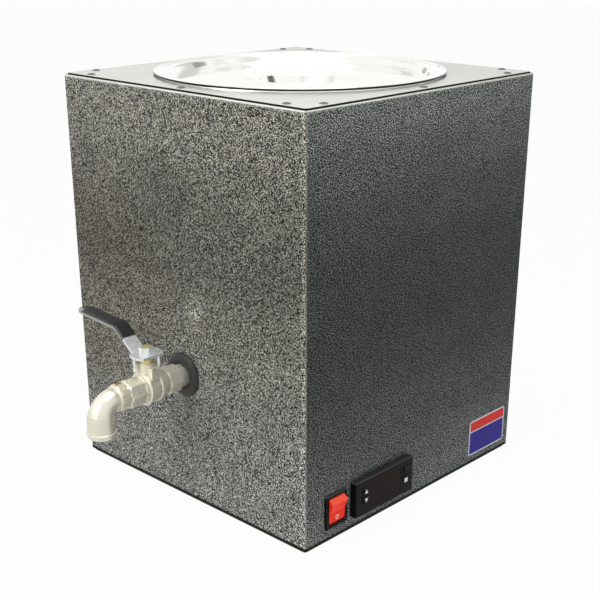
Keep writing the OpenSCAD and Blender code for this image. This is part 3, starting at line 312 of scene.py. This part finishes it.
def polished(name, colour, roughness=0.05):
    """Mirror polish: the faint waviness of pressed sheet, a few fine wipes, and a painted dark reflection and
    shade on the hem round the lid.
    """
    s = Shader(name, Metallic=1.0)
    wave = s.noise(11, 1.0)
    wipes = s.noise(1.0, 3.0, 0.7, vector=s.stretched(900, 60, 60))
    face = s.mix(s.spread(wipes, 0.35, 0.7, 0.0, 1.0), scaled(colour, 0.97), colour)
    inside = s.near(at(0, 0, 0), HEM_FROM, HEM_TO, (1, 1, 0))
    away = s.node("VectorMath", set_operation="SUBTRACT")
    s.feed(away.inputs[0], s.coords)
    s.feed(away.inputs[1], tuple(LID_MIDDLE))
    outward = s.math("GREATER_THAN", s.along(s.normals, away.outputs[0]), 0.0)
    steep = s.smooth(s.axis(s.normals, 2), 0.7, 0.88, 1.0, 0.0)
    # Painted dark reflection and shade on the lid's hem
    hem_shade = s.math("MULTIPLY", s.math("MULTIPLY", steep, outward), s.math("SUBTRACT", 1.0, inside))
    s.colour(s.mix(hem_shade, face, rgb(46, 43, 28)))
    s.roughness(s.spread(wipes, 0.45, 0.75, roughness, roughness + 0.06))
    s.normal(s.bump(wave, 0.0006, 0.012))
    return s.mat


def cast(name, colour, roughness, grain, depth, spots=0.08, metal=0.5, stains_and_highlights=()):
    """Plated metal over a casting or a turned part: soft unevenness, and at given points real stains and
    painted highlights.
    """
    s = Shader(name, Metallic=metal)
    pits = s.noise(grain, 3.0, 0.6)
    cloud = s.noise(90, 3.0)
    face = s.mix(s.spread(cloud, 0.3, 0.7, 0.0, 1.0), scaled(colour, 1 - spots), scaled(colour, 1.0))
    # The marks are real stains and painted highlights
    for point, inner, outer, stretch, mark_colour in stains_and_highlights:
        face = s.mix(s.near(at(*point), inner, outer, stretch), face, mark_colour)
    s.colour(face)
    s.roughness(s.math("ADD", s.spread(pits, 0.3, 0.7, -0.05, 0.05),
                       s.spread(cloud, 0.3, 0.7, roughness - 0.04, roughness + 0.05)))
    s.normal(s.bump(pits, depth, 0.5))
    return s.mat


def galvanised():
    """Zinc spangle: flat crystals in slightly different greys, with painted shade on the sheared edges."""
    s = Shader("galvanised_sheet", Metallic=1.0)
    cells = s.node("TexVoronoi", Vector=s.coords, Scale=140.0, Randomness=1.0)
    split = s.node("SeparateColor", Color=cells.outputs["Color"]).outputs[0]
    face = s.mix(split, rgb(150, 152, 152), rgb(196, 198, 198))
    # Painted shade on the sheared edges
    shaded_edge = s.smooth(s.math("ABSOLUTE", s.axis(s.normals, 2)), 0.5, 0.6, 1.0, 0.0)
    s.colour(s.mix(shaded_edge, face, rgb(24, 24, 23)))
    s.roughness(s.spread(split, 0.0, 1.0, 0.32, 0.52))
    s.normal(s.bump(split, 0.00003, 0.4))
    return s.mat


def moulded(name, colour, roughness, grain=1800, depth=0.00004, tint=0.12, painted_sheen=None, **facts):
    """Plastic, rubber or enamel: a moulded grain, a little unevenness, and a paler painted sheen on
    upward-facing roundings, a painted highlight.
    """
    s = Shader(name, **facts)
    texture = s.noise(grain, 2.0, 0.6)
    cloud = s.noise(45, 2.0)
    face = s.mix(cloud, scaled(colour, 1 - tint), scaled(colour, 1 + tint))
    # Painted highlight: paler on upward-facing roundings
    if painted_sheen:
        rise = s.axis(s.normals, 2)
        upper = s.math("MULTIPLY", s.smooth(rise, 0.15, 0.4), s.smooth(rise, 0.93, 0.99, 1.0, 0.35))
        face = s.mix(upper, face, painted_sheen)
    s.colour(face)
    s.roughness(s.math("ADD", s.spread(texture, 0.3, 0.7, -0.05, 0.05),
                       s.spread(cloud, 0.3, 0.7, roughness - 0.03, roughness + 0.03)))
    s.normal(s.bump(texture, depth, 0.6))
    return s.mat


def glass_wool():
    s = Shader("glass_wool", Sheen_Weight=0.3)
    fibres = s.noise(1.0, 4.0, 0.7, 0.8, vector=s.stretched(500, 500, 900))
    needles = s.node("TexVoronoi", Vector=s.coords, Scale=180.0).outputs["Distance"]
    s.colour(s.mix(fibres, rgb(196, 180, 120), rgb(236, 224, 176)))
    s.roughness(0.95)
    s.normal(s.bump(fibres, 0.0008, 0.8, s.bump(needles, 0.0006, 0.5)))
    return s.mat


def tinted_band():
    """The heater's steel jacket, with straw and blue heat tints."""
    s = Shader("mica_band", Metallic=1.0)
    tint = s.noise(18, 2.0, 0.5, 0.4)
    warm = s.mix(s.spread(tint, 0.35, 0.6, 0.0, 1.0), rgb(176, 170, 158), rgb(190, 160, 110))
    s.colour(s.mix(s.spread(tint, 0.6, 0.75, 0.0, 1.0), warm, rgb(112, 118, 150)))
    s.roughness(s.spread(tint, 0.3, 0.7, 0.3, 0.45))
    s.normal(s.bump(s.noise(700, 2.0), 0.00003, 0.4))
    return s.mat


# The grip: its tip with a painted highlight, the way its painted crease highlight faces, and where painted
# shade makes it darker along X in metres
TIP = at(-86.7, -202.0, 188.5)
CREASE_FACING = (-0.1, -0.93, -0.35)
DARK_FROM, DARK_TO = -0.06, -0.035


def vinyl():
    """Dipped grip: black, with painted highlights on its front crease and its tip, and painted shade towards
    the knee.
    """
    s = Shader("black_vinyl")
    texture = s.noise(1100, 2.0, 0.6)
    # Painted shade towards the knee
    knee_shade = s.spread(s.axis(s.coords, 0), DARK_FROM, DARK_TO, 0.0, 1.0)
    black = s.mix(knee_shade, rgb(60, 62, 61), rgb(38, 39, 40))
    black = s.mix(s.spread(s.noise(45, 2.0), 0.3, 0.7, 0.0, 0.3), black, rgb(30, 30, 32))
    # Painted highlights on the front crease and at the tip
    crease_highlight = s.smooth(s.along(s.normals, CREASE_FACING), 0.66, 0.85, 0.0, 0.9)
    tip_highlight = s.math("MULTIPLY", s.near(TIP, 0.003, 0.007), 0.8)
    s.colour(s.mix(s.math("MAXIMUM", crease_highlight, tip_highlight), black, rgb(200, 200, 198)))
    s.roughness(s.spread(texture, 0.3, 0.7, 0.32, 0.42))
    s.normal(s.bump(texture, 0.00005, 0.6))
    return s.mat


# Marks on the nickel plate: a point in millimetres, the distances in metres between which the mark fades, how
# much each direction counts, and the colour. The two pale rings are painted highlights; the sealant is a real
# stain
INLET_RING = ((0, -163.7, 134.4), 0.0012, 0.0015, (0, 1, 0), rgb(255, 254, 250))
OUTLET_RING = ((0, -247.3, 107.6), 0.0003, 0.0008, (0, 0, 1), rgb(255, 254, 248))
SEALANT = ((-3, -225.0, 145.6), 0.002, 0.0045, (0.7, 1, 1), rgb(196, 156, 100))

MATERIALS = {
    "hammertone": hammertone(),
    "satin_stainless": brushed("satin_stainless", rgb(214, 214, 210), 0.42, 1),
    "mirror_stainless": polished("mirror_stainless", rgb(252, 252, 249)),
    "plated_steel": cast("plated_steel", rgb(246, 249, 252), 0.28, 200, 0.00001, 0.04),
    "galvanised_sheet": galvanised(),
    "nickel_brass": cast("nickel_brass", rgb(253, 248, 232), 0.3, 200, 0.00002, 0.04,
                         stains_and_highlights=(INLET_RING, OUTLET_RING, SEALANT)),
    "brass": cast("brass", rgb(240, 222, 150), 0.3, 900, 0.00002),
    "black_rubber": moulded("black_rubber", rgb(48, 50, 50), 0.5, 1400),
    "black_vinyl": vinyl(),
    "white_ptfe": moulded("white_ptfe", rgb(238, 238, 234), 0.4),
    # The paler colours given for upward-facing roundings are painted highlights
    "black_plastic": moulded("black_plastic", rgb(17, 17, 18), 0.45, 2200, painted_sheen=rgb(96, 97, 97),
                             Specular_IOR_Level=0.12),
    "black_nylon": moulded("black_nylon", rgb(38, 38, 38), 0.5, 1600),
    "orange_plastic": moulded("orange_plastic", rgb(226, 108, 34), 0.4),
    # The rocker's glow is painted light, as the switch is off; its paler top is a painted highlight
    "red_rocker": moulded("red_rocker", rgb(228, 44, 30), 0.3, 600, 0.00001, 0.06, painted_sheen=rgb(255, 120, 92),
                          Specular_IOR_Level=0.12, Emission_Color=rgb(255, 56, 36),
                          Emission_Strength=0.42),
    "dark_window": moulded("dark_window", rgb(46, 24, 26), 0.25, 300, 0.000004, 0.05,
                           Specular_IOR_Level=0.08),
    "key_rubber": moulded("key_rubber", rgb(27, 28, 29), 0.5, 1500, painted_sheen=rgb(60, 61, 61),
                          Specular_IOR_Level=0.12),
    "mica_band": tinted_band(),
    "ceramic": moulded("ceramic", rgb(236, 230, 214), 0.2, 300, 0.00002, 0.05),
    "glass_wool": glass_wool(),
    "white_moulding": moulded("white_moulding", rgb(230, 228, 216), 0.42),
}

for part in frame["record"]["subparts"]:
    thing = NODES[part["node"]]
    thing.data.materials.clear()
    thing.data.materials.append(MATERIALS[part["material_slot"]])
NODES["top_plate_screws"].data.materials[0] = cast("plated_steel_dull", rgb(112, 112, 104), 0.4, 900, 0.00002)


# ---------------------------------------------------------------- pieces


def onto(node, points, direction, lift, start=0.05):
    """The points dropped along a direction onto a CAD node's surface, then lifted off it a little."""
    mesh = NODES[node].data
    tree = BVHTree.FromPolygons([v.co for v in mesh.vertices], [list(p.vertices) for p in mesh.polygons])
    direction = Vector(direction).normalized()
    landed = []
    for p in points:
        hit = tree.ray_cast(p - direction * start, direction)[0]
        landed.append((hit if hit else p) - direction * lift)
    return landed


def mark(name, node, outlines, material, body, lift=0.00008, thick=0.00006):
    """Flat printed shapes on the right-hand face: each outline is a convex loop of (y, z) points in
    millimetres, or a pair of loops that bound a ring."""
    made = bmesh.new()
    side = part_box(node)[1][0]
    for outline in outlines:
        loops = outline if isinstance(outline[0][0], (tuple, list)) else [outline]
        rings = []
        for loop in loops:
            flat = [Vector((side, at(0, y, 0).y, at(0, 0, z).z)) for y, z in loop]
            rings.append([made.verts.new(v) for v in onto(node, flat, (-1, 0, 0), lift)])
        if len(rings) == 1:
            made.faces.new(rings[0])
        else:
            count = len(rings[0])
            for i in range(count):
                j = (i + 1) % count
                made.faces.new((rings[0][i], rings[0][j], rings[1][j], rings[1][i]))
    grown = bmesh.ops.extrude_face_region(made, geom=made.faces[:])
    for v in grown["geom"]:
        if isinstance(v, bmesh.types.BMVert):
            v.co.x += thick
    bmesh.ops.recalc_face_normals(made, faces=made.faces[:])
    mesh = bpy.data.meshes.new(name)
    made.to_mesh(mesh)
    made.free()
    mesh.materials.append(material)
    obj = bpy.data.objects.new(name, mesh)
    bpy.context.scene.collection.objects.link(obj)
    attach(obj, body)


def circle(y, z, r, count=28):
    return [(y + r * math.cos(2 * math.pi * i / count), z + r * math.sin(2 * math.pi * i / count))
            for i in range(count)]


def rounded(y, z, w, h, r, steps=6):
    loop = []
    for cy, cz, start in ((w / 2 - r, h / 2 - r, 0), (r - w / 2, h / 2 - r, 90), (r - w / 2, r - h / 2, 180),
                          (w / 2 - r, r - h / 2, 270)):
        for i in range(steps + 1):
            a = math.radians(start + 90 * i / steps)
            loop.append((y + cy + r * math.cos(a), z + cz + r * math.sin(a)))
    return loop


# The print's glow is painted light
PRINT = moulded("white_print", rgb(236, 242, 243), 0.5, 900, 0.000004, 0.03, Emission_Color=(0.9, 1, 1, 1),
                Emission_Strength=0.25)
# Signs in millimetres: places on the keys and on the rocker, an arrow's reach to its tip and to its foot, the
# square's width, height and rounding, and the ring's radii
KEY_Y, KEY_UP, KEY_DOWN = -81.4, 45.5, 36.7
KEY_SET = (-25.2, 36.4)
OFF = (-114.5, 31.6)
SPAN, FOOT = 2.1, 1.9
SQUARE = (4.6, 4.2, 0.5)
RING_OUT, RING_IN = 2.1, 1.5
UP_ARROW = [(KEY_Y - SPAN, KEY_UP - FOOT), (KEY_Y + SPAN, KEY_UP - FOOT), (KEY_Y, KEY_UP + SPAN)]
DOWN_ARROW = [(KEY_Y - SPAN, KEY_DOWN + FOOT), (KEY_Y, KEY_DOWN - SPAN), (KEY_Y + SPAN, KEY_DOWN + FOOT)]
mark("up_sign", "up_key", [UP_ARROW], PRINT, "key_up")
mark("down_sign", "down_key", [DOWN_ARROW], PRINT, "key_down")
mark("set_sign", "set_key", [rounded(*KEY_SET, *SQUARE, steps=3)], PRINT, "key_set")
mark("off_sign", "switch_rocker", [[circle(*OFF, RING_OUT), circle(*OFF, RING_IN)]], PRINT, "rocker")


# A plain label with a border, a field and a band, in millimetres, and how far they are off the wall in metres
LABEL_Y, LABEL_Z, LABEL_W, LABEL_H = 113.7, 37.4, 59.5, 37.5
INK_W, FIELD_H, BAND_H = 56.5, 23.3, 9.9
FIELD_DOWN, BAND_UP = 5.6, 12.3
BASE_R, INK_R = 3, 1.6
BASE_LIFT, INK_LIFT = 0.00005, 0.00017
# The label's white and its inks glow a little: painted light
WHITE = moulded("label_white", rgb(236, 238, 244), 0.4, Emission_Color=rgb(200, 205, 220),
                Emission_Strength=0.3)


# The inks glow a little too, as painted light
def label_ink(name, colour, glow):
    return moulded(name, colour, 0.35, 600, 0.00001, 0.06, Specular_IOR_Level=0.15, Emission_Color=glow,
                   Emission_Strength=0.5)


LABEL = (
    ("label_base", rounded(LABEL_Y, LABEL_Z, LABEL_W, LABEL_H, BASE_R), WHITE, BASE_LIFT),
    ("label_field", rounded(LABEL_Y, LABEL_Z - FIELD_DOWN, INK_W, FIELD_H, INK_R),
     label_ink("label_blue", rgb(48, 38, 136), rgb(40, 24, 120)), INK_LIFT),
    ("label_band", rounded(LABEL_Y, LABEL_Z + BAND_UP, INK_W, BAND_H, INK_R),
     label_ink("label_red", rgb(206, 56, 50), rgb(190, 40, 36)), INK_LIFT),
)
for label_name, outline, ink, lift in LABEL:
    mark(label_name, "cabinet", [outline], ink, "case", lift)

# ---------------------------------------------------------------- camera, floor and light

# The camera that was fitted to the photograph: the way it looks, its place in metres, its lens and its shift
AZIMUTH, ELEVATION = math.radians(43.78), math.radians(22.08)
CAMERA_AT = (0.7365, -0.72825, 0.5228)
LENS, SHIFT = 68.27, 0.125

back = Vector((math.sin(AZIMUTH) * math.cos(ELEVATION), -math.cos(AZIMUTH) * math.cos(ELEVATION),
               math.sin(ELEVATION)))
lens = bpy.data.cameras.new("photo_camera")
lens.sensor_width = 36
lens.lens = LENS
lens.shift_y = SHIFT
lens.clip_start, lens.clip_end = 0.01, 100
camera = bpy.data.objects.new("photo_camera", lens)
camera.location = CAMERA_AT
camera.rotation_mode = "QUATERNION"
camera.rotation_quaternion = (-back).to_track_quat("-Z", "Y")
bpy.context.scene.collection.objects.link(camera)
bpy.context.scene.camera = camera
bpy.context.scene.view_settings.view_transform = "Standard"

# How far the floor shows plain white to the camera and to metal that mirrors it, and its half width in metres
SEEN_FLOOR, MIRRORED_FLOOR = 0.97, 0.6
FLOOR_REACH = 6.0


def pale_floor():
    """Near white with the object's shadow, and plain white where the camera or metal looks at it."""
    s = Shader("pale_floor", Roughness=0.9)
    s.colour(s.mix(s.noise(3, 2.0), rgb(236, 236, 234), rgb(242, 242, 240)))
    path = s.node("LightPath").outputs
    mirrored = s.math("MULTIPLY", path["Is Glossy Ray"], MIRRORED_FLOOR)
    seen = s.math("MULTIPLY", s.math("ADD", path["Is Camera Ray"], mirrored, clamp=True), SEEN_FLOOR)
    glow = s.node("Emission", Color=(1, 1, 1, 1), Strength=1.0)
    s.feed(s.out.inputs["Surface"], s.choose(seen, s.bsdf.outputs[0], glow.outputs[0]))
    return s.mat


floor_corners = [(x * FLOOR_REACH, y * FLOOR_REACH, 0) for x, y in ((-1, -1), (1, -1), (1, 1), (-1, 1))]
floor_mesh = bpy.data.meshes.new("floor")
floor_mesh.from_pydata(floor_corners, [], [(0, 1, 2, 3)])
floor_mesh.materials.append(pale_floor())
floor = bpy.data.objects.new("floor", floor_mesh)
bpy.context.scene.collection.objects.link(floor)


# Darker things round the bright room: azimuth, elevation, half width and half height in degrees, and darkness
# from 0 to 1. In half sizes from its middle, one is full within the root of CORE and gone at that of FRINGE
ROOM = ((104.0, 28.0, 44.0, 11.0, 0.32), (74.0, 30.0, 14.0, 5.0, 0.5), (55.0, 45.0, 14.0, 9.0, 0.16),
        (7.0, 51.5, 30.0, 8.0, 0.18), (28.0, 61.0, 24.0, 6.0, 0.16), (-86.0, 62.5, 24.0, 9.0, 0.15),
        (-149.0, 14.0, 14.0, 7.0, 0.14), (176.0, 38.0, 22.0, 12.0, 0.24), (157.0, 10.0, 6.0, 4.5, 0.5),
        (40.0, 15.5, 24.0, 4.0, 0.85), (-53.0, 28.0, 9.0, 5.0, 0.12))
CORE, FRINGE = 0.25, 1.3
# The strength of the even light on the object
AMBIENT = 0.14


def studio_world():
    """White for the camera, a room with soft dark patches for metal, and a low even light for all else."""
    world = bpy.data.worlds.new("studio")
    bpy.context.scene.world = world
    world.use_nodes = True
    g = Graph(world.node_tree)
    to_degrees = 180 / math.pi
    x, y, z = g.node("SeparateXYZ", Vector=g.node("TexCoord").outputs["Generated"]).outputs
    around = g.math("MULTIPLY", g.math("ARCTAN2", y, x), to_degrees)
    above = g.math("MULTIPLY", g.math("ARCSINE", z), to_degrees)
    light = 1.0
    for azimuth, elevation, wide, high, dark in ROOM:
        u = g.math("DIVIDE", g.math("SUBTRACT", around, azimuth), wide)
        v = g.math("DIVIDE", g.math("SUBTRACT", above, elevation), high)
        far = g.math("ADD", g.math("MULTIPLY", u, u), g.math("MULTIPLY", v, v))
        light = g.math("MULTIPLY", light, g.smooth(far, CORE, FRINGE, 1 - dark, 1.0))
    even = g.node("Background", Color=(0.97, 0.99, 1.0, 1), Strength=AMBIENT).outputs[0]
    room = g.node("Background", Color=(1.0, 1.0, 0.99, 1), Strength=light).outputs[0]
    white = g.node("Background", Color=(1, 1, 1, 1), Strength=1.0).outputs[0]
    path = g.node("LightPath").outputs
    shiny = g.math("ADD", path["Is Glossy Ray"], path["Is Transmission Ray"], clamp=True)
    seen = g.choose(path["Is Camera Ray"], g.choose(shiny, even, room), white)
    g.node("OutputWorld", Surface=seen)


def lamp(name, place, aim, size, watts, colour):
    data = bpy.data.lights.new(name, "AREA")
    data.shape = "RECTANGLE"
    data.size = data.size_y = size
    data.energy = watts
    data.color = colour
    obj = bpy.data.objects.new(name, data)
    obj.location = place
    obj.rotation_mode = "QUATERNION"
    obj.rotation_quaternion = (Vector(aim) - Vector(place)).to_track_quat("-Z", "Y")
    bpy.context.scene.collection.objects.link(obj)


studio_world()
lamp("front_lamp", place=(-0.2, -1.3, 0.9), aim=(0, 0, 0.2), size=0.8, watts=7.5, colour=(1.0, 0.97, 0.9))
lamp("top_lamp", place=(0.12, -0.08, 1.0), aim=(0.02, 0.0, 0.3), size=0.6, watts=5.0, colour=(1.0, 1.0, 0.98))
